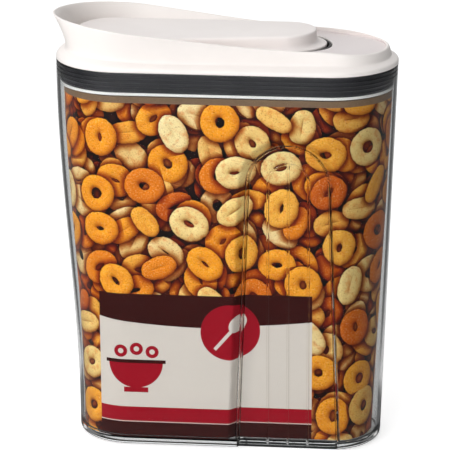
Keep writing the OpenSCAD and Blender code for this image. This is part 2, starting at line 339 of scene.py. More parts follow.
class Graph:
    """Wires the nodes of a tree."""

    def __init__(self, tree: bpy.types.NodeTree) -> None:
        """Takes an empty tree."""
        self.tree = tree

    @classmethod
    def blank(cls, holder: Material | bpy.types.World) -> "Graph":
        """Starts the tree of a material or a world."""
        holder.use_nodes = True
        holder.node_tree.nodes.clear()
        return cls(holder.node_tree)

    def feed(self, socket: Socket, value: object) -> None:
        """Links a socket, or sets its value."""
        value = value.socket if isinstance(value, Num) else value
        if isinstance(value, Socket):
            self.tree.links.new(value, socket)
        elif value is not None:
            socket.default_value = value

    def add(self, kind: str, inputs: dict[str | int, object] | None = None, **settings: object) -> Node:
        """Adds a node.

        Args:
            kind: the node's type.
            inputs: what each input takes, by its name or place.
            settings: the node's own settings.

        Returns:
            The node.
        """
        node = self.tree.nodes.new(kind)
        for key, value in settings.items():
            setattr(node, key, value)
        self.fill(node, inputs or {})
        return node

    def out(self, kind: str, inputs: dict[str | int, object] | None = None, **settings: object) -> Socket:
        """Adds a node, and gives its first output."""
        return self.add(kind, inputs, **settings).outputs[0]

    def fill(self, node: Node, inputs: dict[str | int, object]) -> None:
        """Feeds a node's inputs, each by its name or place."""
        for key, value in inputs.items():
            self.feed(node.inputs[key], value)

    def math(self, operation: str, a: object, b: object = None, c: object = None) -> Num:
        """One sum."""
        return Num(self, self.out("ShaderNodeMath", {0: a, 1: b, 2: c}, operation=operation))

    def vector(self, operation: str, a: object, b: object = None) -> Socket:
        """One sum on vectors."""
        return self.out("ShaderNodeVectorMath", {0: a, 1: b}, operation=operation)

    def blend(self, factor: object, a: object, b: object, kind: str = "MIX") -> Socket:
        """Two colours mixed."""
        node = self.add("ShaderNodeMix", {0: factor, 6: a, 7: b}, data_type="RGBA", blend_type=kind)
        return node.outputs[2]

    def step(self, value: object, low: object, high: object, to_low: float = 0.0, to_high: float = 1.0) -> Num:
        """Eases from one level to another as a value passes from low to high."""
        return Num(self, self.add("ShaderNodeMapRange", {0: value, 1: low, 2: high, 3: to_low, 4: to_high},
                                  interpolation_type="SMOOTHSTEP").outputs[0])

    def noise(self, vector: object, scale: object, detail: float = 2.0, rough: float = 0.5) -> Num:
        """A noise pattern in space."""
        inputs = {"Vector": vector, "Scale": scale, "Detail": detail, "Roughness": rough}
        return Num(self, self.out("ShaderNodeTexNoise", inputs))

    def spin(self, vector: object, angle: object) -> Socket:
        """A vector turned round Z."""
        inputs = {"Vector": vector, "Angle": angle}
        return self.out("ShaderNodeVectorRotate", inputs, rotation_type="Z_AXIS")

    def bump(self, height: object, depth: object, strength: float = 1.0) -> Socket:
        """A normal bent by a height."""
        return self.out("ShaderNodeBump", {"Strength": strength, "Distance": depth, "Height": height})

    def join(self, x: object, y: object, z: object = 0.0) -> Socket:
        """A vector from its parts."""
        return self.out("ShaderNodeCombineXYZ", {0: x, 1: y, 2: z})

    def tint(self, red: object, green: object, blue: object) -> Socket:
        """A colour from its parts."""
        return self.out("ShaderNodeCombineColor", {0: red, 1: green, 2: blue})

    def parts(self, vector: Socket) -> list[Num]:
        """The parts of a vector."""
        return [Num(self, part) for part in self.add("ShaderNodeSeparateXYZ", {0: vector}).outputs]


def shader_group(name: str, inputs: dict[str, str], outputs: dict[str, str]) -> tuple[Graph, Node, Node]:
    """Starts a group of shader nodes.

    Args:
        name: the group's name.
        inputs: the kind of each input, by name.
        outputs: the kind of each output, by name.

    Returns:
        Its graph, the node with its inputs and the node that takes its outputs.
    """
    tree = bpy.data.node_groups.new(name, "ShaderNodeTree")
    for way, sockets in (("INPUT", inputs), ("OUTPUT", outputs)):
        for label, kind in sockets.items():
            tree.interface.new_socket(name=label, in_out=way, socket_type="NodeSocket" + kind)
    graph = Graph(tree)
    return graph, graph.add("NodeGroupInput"), graph.add("NodeGroupOutput")


class MouldedSkin:
    """The fine grain and the slow unevenness of a moulded surface, shared by the plastics and the rubber."""

    tree: bpy.types.NodeTree | None = None

    @classmethod
    def use(cls, graph: Graph, place: Socket, grain: float, depth: float) -> tuple[Socket, Socket]:
        """Adds the group to a material.

        Args:
            graph: the material's graph.
            place: the coordinates, in metres.
            grain: the grain's scale.
            depth: how deep it presses, in metres.

        Returns:
            A mask of slow clouds, and the normal.
        """
        if cls.tree is None:
            g, source, out = shader_group("moulded skin", {"Place": "Vector", "Grain": "Float", "Depth": "Float"},
                                          {"Clouds": "Float", "Normal": "Vector"})
            fine = g.noise(source.outputs[0], source.outputs[1], 3.0)
            slow = g.noise(source.outputs[0], 38.0, 3.0)
            g.feed(out.inputs[0], slow)
            g.feed(out.inputs[1], g.bump(slow * 3.0 + fine, source.outputs[2]))
            cls.tree = g.tree
        node = graph.add("ShaderNodeGroup", node_tree=cls.tree)
        graph.fill(node, dict(enumerate((place, grain, depth))))
        return node.outputs[0], node.outputs[1]


class Finish:
    """What the finishes share."""

    name: str

    def build(self) -> Material:
        """Makes the material."""
        material = bpy.data.materials.new(self.name)
        g = Graph.blank(material)
        shader = g.add("ShaderNodeBsdfPrincipled", self.look(g, g.add("ShaderNodeTexCoord").outputs["Object"]))
        g.add("ShaderNodeOutputMaterial", {0: self.surface(g, shader.outputs[0])})
        return material

    def look(self, g: Graph, place: Socket) -> dict[str, object]:
        """What the shader's inputs take, by name, with the coordinates to read."""
        raise NotImplementedError

    def surface(self, g: Graph, shader: Socket) -> Socket:
        """What the material gives out."""
        return shader


@dataclass(frozen=True)
class Moulded(Finish):
    """A moulded plastic or rubber: two close colours in slow clouds, and a fine grain."""

    name: str
    colour: Colour
    shade: Colour
    roughness: float
    grain: float = 2600.0
    depth: float = 0.000012
    sheen: float = 0.5

    def look(self, g: Graph, place: Socket) -> dict[str, object]:
        """Its clouds and its grain."""
        clouds, normal = MouldedSkin.use(g, place, self.grain, self.depth)
        return {"Base Color": g.blend(g.step(clouds, 0.35, 0.65), self.colour, self.shade),
                "Roughness": g.step(clouds, 0.3, 0.7, self.roughness - 0.03, self.roughness + 0.04),
                "Specular IOR Level": self.sheen, "Normal": normal}


@dataclass(frozen=True)
class Clear(Finish):
    """Clear polished plastic. Rays from the lamps go straight through it."""

    name: str = "clear styrene"
    tint: Colour = srgb(252, 253, 253)
    # The darker tint of the grips' steep flanks: painted shade
    flank_shade: Colour = srgb(232, 229, 222)
    grip_x: float = 0.046
    grip_half: float = 0.04
    face_y: float = 0.027
    blur: float = 0.001
    ior: float = 1.5

    def look(self, g: Graph, place: Socket) -> dict[str, object]:
        """Its tint, with painted shade on the steep flanks of the grips, darker than the faces."""
        x, y, z = g.parts(place)
        _, facing, _ = g.parts(g.add("ShaderNodeTexCoord").outputs["Normal"])
        across = g.step((x - self.grip_x).size(), self.grip_half + self.blur, self.grip_half - self.blur)
        forward = g.step(y.size(), self.face_y - self.blur, self.face_y + self.blur)
        # Painted shade: the grips' steep flanks, found by their normals, take the darker tint
        flank_shade = g.step(facing.size(), 0.86, 0.45) * across * forward
        return {"Base Color": g.blend(flank_shade * g.step(z, 0.001, 0.004), self.tint, self.flank_shade), "Roughness": 0.015,
                "IOR": self.ior, "Transmission Weight": 1.0, "Normal": g.bump(g.noise(place, 30.0, 1.0), 0.00006)}

    def surface(self, g: Graph, shader: Socket) -> Socket:
        """Lets the rays from the lamps through."""
        shadow = g.add("ShaderNodeLightPath").outputs["Is Shadow Ray"]
        through = g.out("ShaderNodeBsdfTransparent", {0: srgb(244, 246, 247)})
        return g.out("ShaderNodeMixShader", {0: shadow, 1: shader, 2: through})


@dataclass(frozen=True)
class TurnedSteel(Finish):
    """A turned steel pin, with fine lines round it."""

    name: str = "turned steel"

    def look(self, g: Graph, place: Socket) -> dict[str, object]:
        """Its bare metal and its lines."""
        lines = g.noise(g.join(0.0, g.parts(place)[1], 0.0), 9000.0, 2.0)
        return {"Base Color": srgb(205, 206, 208), "Metallic": 1.0, "Roughness": g.step(lines, 0.3, 0.7, 0.22, 0.36),
                "Normal": g.bump(lines, 0.00001, 0.5)}


@dataclass(frozen=True)
class Board(Finish):
    """The bare side of the card: grey-brown board with pressed fibres."""

    name: str = "bare board"

    def look(self, g: Graph, place: Socket) -> dict[str, object]:
        """Its fibres and its slow change of tone."""
        fibre = g.noise(g.vector("MULTIPLY", place, (1.0, 1.0, 0.35)), 900.0, 4.0, 0.6)
        tone = g.blend(g.step(g.noise(place, 60.0), 0.3, 0.7), srgb(150, 128, 104), srgb(138, 116, 92))
        return {"Base Color": g.blend(g.step(fibre, 0.5, 0.72), tone, srgb(112, 92, 72)), "Roughness": 0.8,
                "Normal": g.bump(fibre, 0.00003, 0.4)}


class RingLayer:
    """One layer of printed cereal rings, which lies over the layers below it and shades them."""

    CORE = 8.7
    TUBE = 4.8
    tree: bpy.types.NodeTree | None = None

    @classmethod
    def use(cls, graph: Graph, place: Socket, specks: Num, below: object, turn: float, shift: tuple[float, float],
            cell: float) -> Socket:
        """Adds a layer to a material.

        Args:
            graph: the material's graph.
            place: the place on the card, in millimetres.
            specks: a fine noise.
            below: the colour below.
            turn: how far the layer's lattice is turned, in radians.
            shift: where the layer starts, in millimetres.
            cell: the spacing of its rings, in millimetres.

        Returns:
            The colour with this layer on top.
        """
        if cls.tree is None:
            cls.tree = cls._make()
        node = graph.add("ShaderNodeGroup", node_tree=cls.tree)
        graph.fill(node, dict(enumerate((place, specks, below, turn, (*shift, 0.0), cell))))
        return node.outputs[0]

    @staticmethod
    def _dice(g: Graph, cell: Socket, offset: Place) -> list[Num]:
        """Three random numbers for a cell."""
        spot = g.vector("ADD", cell, offset)
        noise = g.add("ShaderNodeTexWhiteNoise", {"Vector": spot}, noise_dimensions="3D").outputs["Color"]
        return [Num(g, part) for part in g.add("ShaderNodeSeparateColor", {0: noise}).outputs]

    @staticmethod
    def _nearest(x: Num, y: Num, a: Num, b: Num) -> tuple[Num, Num, Num]:
        """The nearest place on an ellipse.

        Args:
            x: how far along the long axis.
            y: how far along the short one.
            a: half the long axis.
            b: half the short one.

        Returns:
            How far outside it is, and the cosine and the sine of its place on the ellipse.
        """
        px, py, focus = x.size(), y.size(), a * a - b * b
        c: Num | float = 0.7071
        s: Num | float = 0.7071
        for _ in range(2):
            ex, ey = focus / a * c * c * c, focus / b * s * s * s * -1.0
            qx, qy = px - ex, py - ey
            pull = (a * c - ex).across(b * s - ey) / qx.across(qy).at_least(0.001)
            c = ((qx * pull + ex) / a).at_least(0.0).at_most(1.0)
            s = ((qy * pull + ey) / b).at_least(0.0).at_most(1.0)
            whole = c.across(s).at_least(0.001)
            c, s = c / whole, s / whole
        outside = ((px / a).across(py / b) - 1.0).sign()
        return (px - a * c).across(py - b * s) * outside, c, s

    @classmethod
    def _make(cls) -> bpy.types.NodeTree:
        """Builds the group."""
        g, source, out = shader_group(
            "cereal ring layer",
            {"Place": "Vector", "Specks": "Float", "Below": "Color", "Turn": "Float", "Shift": "Vector",
             "Cell": "Float"}, {"Colour": "Color"})
        place, specks, below, turn, shift, cell = source.outputs[:6]
        specks, turn, cell = Num(g, specks), Num(g, turn), Num(g, cell)
        # A millionth of the colour below makes the layers work one after another, so that few numbers are held at once
        place = g.vector("ADD", place, g.vector("MULTIPLY", below, (1e-6, 1e-6, 1e-6)))
        moved = g.vector("ADD", g.spin(place, turn), shift)
        grid = g.vector("DIVIDE", moved, g.join(cell, cell, 1.0))
        centre = g.add("ShaderNodeTexVoronoi", {"Vector": grid, "Scale": 1.0, "Randomness": 0.26},
                       voronoi_dimensions="2D", feature="F1").outputs["Position"]
        local = g.vector("MULTIPLY", g.vector("SUBTRACT", grid, centre), g.join(cell, cell, 0.0))
        first, second = cls._dice(g, centre, (0.0, 0.0, 0.0)), cls._dice(g, centre, (7.3, 2.9, 4.1))
        third = cls._dice(g, centre, (1.7, 8.3, 3.9))
        # The ring's centre line seen at a tilt is an ellipse
        angle = first[0] * (2 * math.pi)
        x, y, _ = g.parts(g.spin(local, angle))
        wide = first[1] * 1.5 + (cls.CORE - 0.75)
        narrow = wide * (first[2] ** 0.7 * 0.86 + 0.12)
        off, c, s = cls._nearest(x, y, wide, narrow)
        spot = g.vector("ADD", moved, g.join(second[0] * 9.0, 0.0))
        off = off + g.noise(spot, 0.17, 2.0) * 1.4 + g.noise(spot, 0.6, 3.0) * 1.0 - 1.2
        tube = second[1] * 1.0 + (cls.TUBE - 0.5)
        share = off / tube
        rise = (1.0 - share * share).at_least(0.0) ** 0.5
        # The side of the tube that faces the lamp, turned back to the card
        nx, ny = narrow * c * x.sign(), wide * s * y.sign()
        length = nx.across(ny).at_least(0.001)
        back = angle * -1.0 - turn
        lean_x, lean_y, _ = g.parts(g.spin(g.join(nx / length, ny / length), back))
        light = share * (lean_x * -0.42 + lean_y * 0.5) + rise ** 0.8 * 0.5 + (specks - 0.5) * 1.4
        shade = g.step(light, -0.62, 0.46, 0.15, 1.03) + g.step(light, 0.4, 0.95, 0.0, 0.19)
        # Baked colours: cream, gold and deep orange, toasted in patches
        ramp = g.add("ShaderNodeValToRGB", {0: second[2]})
        tones = ((0.0, srgb(248, 226, 168)), (0.28, srgb(244, 210, 132)), (0.44, srgb(246, 182, 72)),
                 (0.68, srgb(246, 160, 30)), (0.86, srgb(226, 118, 14)), (1.0, srgb(198, 84, 8)))
        while len(ramp.color_ramp.elements) < len(tones):
            ramp.color_ramp.elements.new(0.5)
        for element, (at, tone) in zip(ramp.color_ramp.elements, tones):
            element.position, element.color = at, tone
        toast = g.step(g.noise(moved, 0.2, 3.0), 0.46, 0.7)
        baked = g.blend(toast * 0.5, ramp.outputs[0], srgb(224, 120, 20))
        baked = g.blend(g.step(specks, 0.55, 0.63) * 0.75, baked, srgb(146, 62, 6))
        baked = g.blend(g.step(specks, 0.46, 0.34) * 0.5, baked, srgb(255, 236, 176))
        lit = g.blend(1.0, baked, g.tint(shade ** 0.85, shade ** 1.35, shade ** 1.9), "MULTIPLY")
        # The layer's shadow on what lies below, and the dark in its hole
        near = off.size() - tube
        present = third[0] < 0.82
        shadow = g.step(near, -0.4, 6.0, 0.1, 0.94) * ((off < 0.0) * -0.45 + 1.0)
        shadow = 1.0 - (1.0 - shadow) * present
        dimmed = g.blend(1.0, below, g.tint(shadow ** 0.8, shadow ** 1.5, shadow ** 2.2), "MULTIPLY")
        g.feed(out.inputs[0], g.blend(g.step(near, 0.12, -0.22) * present, dimmed, lit))
        return g.tree


@dataclass(frozen=True)
class PrintedCard(Finish):
    """The printed side of the card: heaped cereal rings, and a plain panel on the front."""

    name: str = "printed card"
    layers: int = 10
    left: float = -86.0
    right: float = 62.6
    low: float = 4.0
    high: float = 112.8
    # Where the top band starts: bare board, painted darker than the board as the shade under the lid
    shaded_top_band: float = 250.4
    wave_low: float = 89.0
    wave_x: float = -8.0
    wave_dip: float = 0.00095
    disc_at: tuple[float, float] = (6.0, 86.0)
    disc_r: float = 20.5
    bowl_at: tuple[float, float] = (-60.0, 62.0)
    bowl_r: float = 19.0
    hoop_r: tuple[float, float] = (4.6, 1.9)

    def look(self, g: Graph, place: Socket) -> dict[str, object]:
        """Its print, laid out in the card's own coordinates."""
        place = g.out("ShaderNodeUVMap", uv_map="card")
        specks = g.noise(place, 0.8, 4.0, 0.8)
        colour: object = srgb(62, 11, 2)
        for k in range(self.layers):
            shift = (71.3 * k + 11.0, 133.7 * k + 5.0)
            colour = RingLayer.use(g, place, specks, colour, 0.83 * k + 0.2, shift, 32.0 + 0.7 * (k % 3))
        u, v, _ = g.parts(place)
        # Painted shade: the print darkens towards the right, away from the lamp on the left
        right_shade = g.step(u, 30.0, 105.0, 1.0, 0.7)
        colour = self._panel(g, u, v, g.blend(1.0, colour, g.tint(right_shade, right_shade, right_shade), "MULTIPLY"))
        # A band of bare board along the card's top, painted darker than the board as the shade under the lid
        shaded_top_band = g.blend(g.noise(place, 0.35, 3.0), srgb(134, 110, 88), srgb(116, 94, 74))
        colour = g.blend(g.step(v, self.shaded_top_band - 0.15, self.shaded_top_band + 0.15), colour, shaded_top_band)
        return {"Base Color": colour, "Roughness": 0.5, "Specular IOR Level": 0.15,
                "Normal": g.bump(g.noise(place, 4.0), 0.00002, 0.3)}

    def _box(self, g: Graph, u: Num, v: Num, x0: float, x1: float, z0: float, z1: float) -> Num:
        """A mask of an upright box."""
        return (((u - x0) * (x1 - u)) > 0.0) * (((v - z0) * (z1 - v)) > 0.0)

    def _disc(self, g: Graph, u: Num, v: Num, x: float, z: float, r: float) -> Num:
        """A mask of a disc."""
        return g.step((u - x).across(v - z), r + 0.15, r - 0.15)

    def _panel(self, g: Graph, u: Num, v: Num, colour: Socket) -> Socket:
        """Lays the plain panel over the print: a pale field, bands, a disc with a spoon, and a bowl."""
        pale, brown, crimson, line = srgb(218, 209, 200), srgb(52, 3, 1), srgb(157, 5, 29), srgb(214, 190, 180)
        band = lambda low, high, along=v: self._box(g, u, along, self.left, self.right, low, high)
        box = lambda *sides: self._box(g, u, v, *sides)
        disc = lambda x, z, r: self._disc(g, u, v, x, z, r)
        colour = g.blend(band(self.low, self.high), colour, pale)
        along = u - self.wave_x
        curved = v - along * along * self.wave_dip
        colour = g.blend(band(self.wave_low, 140.0, curved) * (v < self.high), colour, brown)
        for low, high, tone in ((17.9, 28.6, crimson), (17.2, 17.9, line), (self.low, 17.2, brown)):
            colour = g.blend(band(low, high), colour, tone)
        x, z = self.disc_at
        colour = g.blend(disc(x, z, self.disc_r), colour, crimson)
        a, b, _ = g.parts(g.spin(g.join(u - x, v - z), 0.7))
        spoon = self._disc(g, a * 1.4, b, 0.0, 8.0, 7.2).at_least(self._box(g, a, b, -1.2, 1.2, -16.5, 3.0))
        colour = g.blend(spoon, colour, pale)
        x, z = self.bowl_at
        bowl = disc(x, z, self.bowl_r) * box(x - 30.0, x + 30.0, z - 22.0, z)
        colour = g.blend(bowl.at_least(box(x - 8.5, x + 8.5, z - 22.4, z - 18.6)), colour, crimson)
        colour = g.blend(box(x - 21.0, x + 21.0, z - 0.6, z + 2.0), colour, brown)
        for dx, dz in ((-10.5, 8.2), (0.5, 10.0), (11.5, 8.0)):
            outer, hole = (disc(x + dx, z + dz, r) for r in self.hoop_r)
            colour = g.blend(outer * (1.0 - hole), colour, crimson)
        return colour


class Finishes:
    """The finishes of the keeper, each made once."""

    def __init__(self) -> None:
        """Makes them."""
        self.white = Moulded("white lid", srgb(249, 243, 239), srgb(247, 241, 237), 0.36).build()
        self.flap = Moulded("white flap", srgb(248, 241, 238), srgb(246, 239, 236), 0.42).build()
        # Painted shade: the deck, part of the same white shell, takes a darker copy of its white
        self.deck = Moulded("shaded white deck", srgb(236, 227, 226), srgb(234, 225, 224), 0.45).build()
        self.liner = Moulded("white liner", srgb(244, 242, 239), srgb(241, 239, 236), 0.45).build()
        self.slate = Moulded("slate seal", srgb(44, 43, 47), srgb(38, 38, 42), 0.4, 1800.0, 0.00002).build()
        self.black = Moulded("black seal", srgb(24, 20, 20), srgb(30, 26, 25), 0.5, 1800.0, 0.00002).build()
        self.clear = Clear().build()
        self.steel = TurnedSteel().build()
        self.board = Board().build()
        self.card = PrintedCard().build()


def put(piece: Piece, body: Body, slot: Slot, *nodes: str) -> Piece:
    """Hands a finished piece to its body.

    Args:
        piece: the piece.
        body: the body that it moves with.
        slot: the record's finish that it stands for; not used.
        nodes: the solids that it shows in place of.

    Returns:
        The piece.
    """
    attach(piece, body.value)
    if nodes:
        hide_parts(*nodes)
    LOG.info("%s: %d faces, rides on %s", piece.name, len(piece.data.polygons), body.value)
    return piece


def dress(node: str, material: Material) -> None:
    """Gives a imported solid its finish."""
    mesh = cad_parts[node].data
    mesh.materials.clear()
    mesh.materials.append(material)
    LOG.info("%s: dressed in %s", node, material.name)


@dataclass(frozen=True)
class Shell:
    """The tapering outline that the container, its sleeve and its seals share."""

    seat: float = 272.0
    half: float = 48.0
    centre: float = 70.0
    wall: float = 2.5
    lean_spout: float = 13.5
    lean_grip: float = 9.0
    lean_face: float = 9.5

    def low(self, z: float) -> float:
        """How far below the seat a height is, as a share."""
        return 1 - min(max(z / self.seat, 0), 1)

    def outline(self, z: float, d: float = 0.0) -> Stadium:
        """The outline at a height, drawn in by d."""
        low = self.low(z)
        spout = self.lean_spout * float(smooth((self.seat - 7 - z) / (self.seat - 17)))
        half = self.half - self.lean_face * low - d
        return Stadium(-self.centre + spout - self.lean_face * low, half, half, 2,
                       self.centre - self.lean_grip * low + self.lean_face * low, half, half, 2)


@dataclass(frozen=True)
class ClearBody:
    """The clear container with a hand grip pressed into its front and back."""

    shell: Shell = Shell()
    top: float = 271.7
    floor: float = 6.0
    base_round: float = 5.0
    inner_round: float = 2.6
    rim_round: float = 0.35
    kick: float = 2.5
    foot: float = 9.0
    grip_x: float = 46.0
    grip_d: float = 6.0
    grip_half: float = 27.3
    grip_side: float = 0.5
    grip_low: float = 35.0
    grip_z: float = 194.0
    rib_x: float = 14.0
    rib_w: float = 1.4
    rib_h: float = 1.5
    rib_z: float = 194.8
    edge: float = 1.7
    still: float = -60.0
    held: float = 15.0
    span: float = 4.0

    def plan(self) -> RingPlan:
        """Columns that stand close where the grip's edges and ribs are."""
        close = np.arange(66, 90, 0.6)
        right = np.concatenate([[-90], -close[::-1], np.arange(-60, 66, 6.0), close, [90]])
        rib = np.arange(1.0, -1.01, -0.2)
        xs = np.concatenate([np.arange(69.4, 61.2, -0.6), self.grip_x + self.rib_x + rib,
                             np.arange(58.4, 47.2, -0.7), self.grip_x + rib,
                             np.arange(44.4, 33.2, -0.7), self.grip_x - self.rib_x + rib,
                             np.arange(30.4, 22.4, -0.6), np.arange(22.4, 8, -0.45), np.linspace(8, -66, 10)])
        side = (self.shell.centre - xs) / (2 * self.shell.centre)
        return RingPlan(right, side, np.linspace(-90, 90, 49))

    def inside(self, x: np.ndarray, z: np.ndarray, grow: float) -> np.ndarray:
        """How deep a place on the face is inside the grip's arch, grown by grow."""
        grow = grow * self.grip_side
        arch = self.grip_half + grow - np.hypot(x - self.grip_x, z - self.grip_z)
        width = mix(self.grip_low, self.grip_half, (z + 10) / (self.grip_z + 10)) + grow
        return np.where(z > self.grip_z, arch, width - np.abs(x - self.grip_x))

    def rib(self, x: np.ndarray, z: np.ndarray) -> np.ndarray:
        """The ribs' height over the grip's floor."""
        away = np.abs(x - self.grip_x)
        arch = np.abs(np.hypot(x - self.grip_x, z - self.rib_z) - self.rib_x)
        sides = np.where(z > self.rib_z, arch, np.abs(away - self.rib_x))
        middle = np.where(z > self.rib_z + self.rib_x, 99.0, away)
        near = np.minimum(sides, middle)
        return self.rib_h * smooth((self.rib_w / 2 + 0.3 - near) / 0.6) * smooth((z - 3) / 3)

    def ring(self, plan: RingPlan, o: Stadium, z: float, grow: float, soft: float = 0.0) -> Ring:
        """A ring of the wall with the grip pressed in.

        Args:
            plan: where its points stand.
            o: the outline before the grip.
            z: its height.
            grow: how far inside the outer face it is.
            soft: how much wider than the wall's its bend round the grip is.
        """
        r = plan.level(o, z)
        rest = plan.points(self.shell.outline(self.shell.seat))[:, 0]
        spread = max(self.grip_low - self.grip_half, 0) * (1 - min((z + 10) / (self.grip_z + 10), 1))
        span, middle = np.array([-self.span, self.span]), np.array([-self.held, self.held]) + self.grip_x
        left, right = self.grip_x - self.grip_half + span, self.grip_x + self.grip_half + span
        start = mix(o.right, o.left, (self.shell.centre - self.still) / (2 * self.shell.centre))
        marks = [self.still, *left, *middle, *right, self.shell.centre + self.shell.half]
        moved = [start, *(left - spread), *middle, *(right + spread), o.right + o.right_len]
        near = rest > self.still
        r[near, 0] = np.interp(rest[near], marks, moved)
        r[near, 1] = np.sign(r[near, 1]) * o.half(r[near, 0])
        x, reach = r[:, 0], np.abs(r[:, 1])
        floor = self.shell.half - self.shell.lean_face * self.shell.low(z) - self.grip_d - grow
        pressed = smooth((self.inside(x, r[:, 2], grow) + soft / 2) / (self.edge + soft) + 0.5)
        carved = reach - pressed * np.maximum(reach - floor, 0)
        if grow == 0:
            carved = carved + np.where(reach > floor, pressed * self.rib(x, r[:, 2]), 0)
        r[:, 1] = np.sign(r[:, 1]) * carved
        return r

    def build(self, finishes: Finishes) -> None:
        """Makes the container."""
        plan, sh = self.plan(), self.shell
        heights = np.concatenate([np.arange(12, 188, 8.0), np.arange(188, 226, 0.5), np.arange(226, 268, 8.0)])
        foot = sh.outline(0, self.base_round)
        under = foot.inset(self.foot)
        rings = plan.stack((under, 2.5, self.kick), (under, 1.0, self.kick - 0.15), (under, 0.35, self.kick - 0.8),
                           (under, 0, 0.4), (under, -0.4, 0))
        for t in np.radians(np.arange(0, 90, 15)):
            z, d = self.base_round * (1 - math.cos(t)), self.base_round * (1 - math.sin(t))
            rings.append(self.ring(plan, sh.outline(z, d), z, 0))
        hold = (self.top - 1.2, self.top - 0.4)
        rings += [self.ring(plan, sh.outline(z), z, 0) for z in (self.base_round, 8.0, *heights, *hold)]
        rings.append(self.ring(plan, sh.outline(self.top, self.rim_round), self.top, 0))
        rings.append(self.ring(plan, sh.outline(self.top, sh.wall - self.rim_round), self.top, sh.wall))
        rings += [self.ring(plan, sh.outline(z, sh.wall), z, sh.wall) for z in (*hold[::-1], *heights[::-1])]
        for t in np.radians((90, 60, 35, 15, 0)):
            z, d = self.floor + self.inner_round * (1 - math.cos(t)), sh.wall + self.inner_round * (1 - math.sin(t))
            rings.append(self.ring(plan, sh.outline(z, d), z, sh.wall))
        skin = Skin()
        skin.band(rings, bottom=plan, top=plan)
        put(skin.build("clear_container", [finishes.clear], 30.0), Body.CONTAINER, Slot.CLEAR, "container_body")


@dataclass(frozen=True)
class Sleeve:
    """The printed card that stands in the container, bent round the hand grips."""

    body: ClearBody = ClearBody()
    heights: tuple[float, ...] = (15, 51, 110, 176, 245)
    left_gaps: tuple[float, ...] = (0.7, 0.8, 1.8, 2.4, 2.8)
    right_gaps: tuple[float, ...] = (3.7, 3.3, 2.4, 1.3, 0.8)
    face_gap: float = 0.7
    thick: float = 0.8
    soft: float = 5.5
    low: float = 6.15
    top: float = 254.9

    def ring(self, plan: RingPlan, z: float, d: float, dent: bool = True) -> Ring:
        """A ring of the card at a height, drawn in by d, with or without its dents at the grips."""
        wall = self.body.shell.wall
        o = self.body.shell.outline(z, wall + self.face_gap + d)
        left, right = (float(np.interp(z, self.heights, gaps)) - self.face_gap
                       for gaps in (self.left_gaps, self.right_gaps))
        o = Stadium(o.left, o.left_len - left, o.left_half, 2, o.right, o.right_len - right, o.right_half, 2)
        r = self.body.ring(plan, o, z, wall + self.face_gap + d, self.soft)
        if not dent:
            r[:, 1] = np.sign(r[:, 1]) * o.half(r[:, 0])
        return r

    def build(self, finishes: Finishes) -> None:
        """Makes the sleeve, with its print measured in millimetres along the card."""
        plan = self.body.plan()
        heights = np.concatenate([np.linspace(self.low, 186, 26), np.arange(188, 228, 1.6),
                                  np.linspace(230, self.top, 4)])
        outer = [self.ring(plan, z, 0) for z in heights]
        inner = [self.ring(plan, z, self.thick) for z in heights[::-1]]
        skin = Skin()
        skin.band(outer + inner, closed=True)
        printed = (len(outer) - 1) * len(outer[0])
        skin.mats[printed:] = [1] * (len(skin.faces) - printed)
        piece = skin.build("card_sleeve", [finishes.card, finishes.board])
        seam = len(plan.right) + len(plan.side) + len(plan.left) // 2
        self._measure(piece, [self.ring(plan, z, 0, dent=False) for z in heights], seam)
        put(piece, Body.CONTAINER, Slot.CARD, "printed_sleeve")

    def _measure(self, piece: Piece, rings: Sequence[Ring], seam: int) -> None:
        """Writes the card's own coordinates: along it from the middle of the front, and up.

        Args:
            piece: the sleeve.
            rings: its outer rings without the dents.
            seam: the point of a ring where the print starts.
        """
        mesh, n, m = piece.data, len(rings[0]), len(rings)
        front = n - len(self.body.plan().side) - seam
        turned = np.array([np.roll(ring, -seam, axis=0) for ring in rings])
        closed = np.concatenate([turned, turned[:, :1]], axis=1)
        along = np.zeros((m, n + 1))
        along[:, 1:] = np.cumsum(np.linalg.norm(np.diff(closed, axis=1), axis=2), axis=1)
        along += (closed[:, front, 0] - along[:, front])[:, None]
        row, column = np.divmod(np.arange(len(mesh.polygons)), n)
        place = (column - seam) % n
        rows = [np.clip(np.where(r < m, r, 2 * m - 1 - r), 0, m - 1) for r in (row, row, row + 1, row + 1)]
        across = (place, place + 1, place + 1, place)
        layer = mesh.uv_layers.new(name="card")
        uv = np.zeros((len(mesh.polygons), 4, 2))
        for k, (r, c) in enumerate(zip(rows, across)):
            uv[:, k, 0], uv[:, k, 1] = along[r, c], closed[r, 0, 2]
        layer.data.foreach_set("uv", uv.ravel())


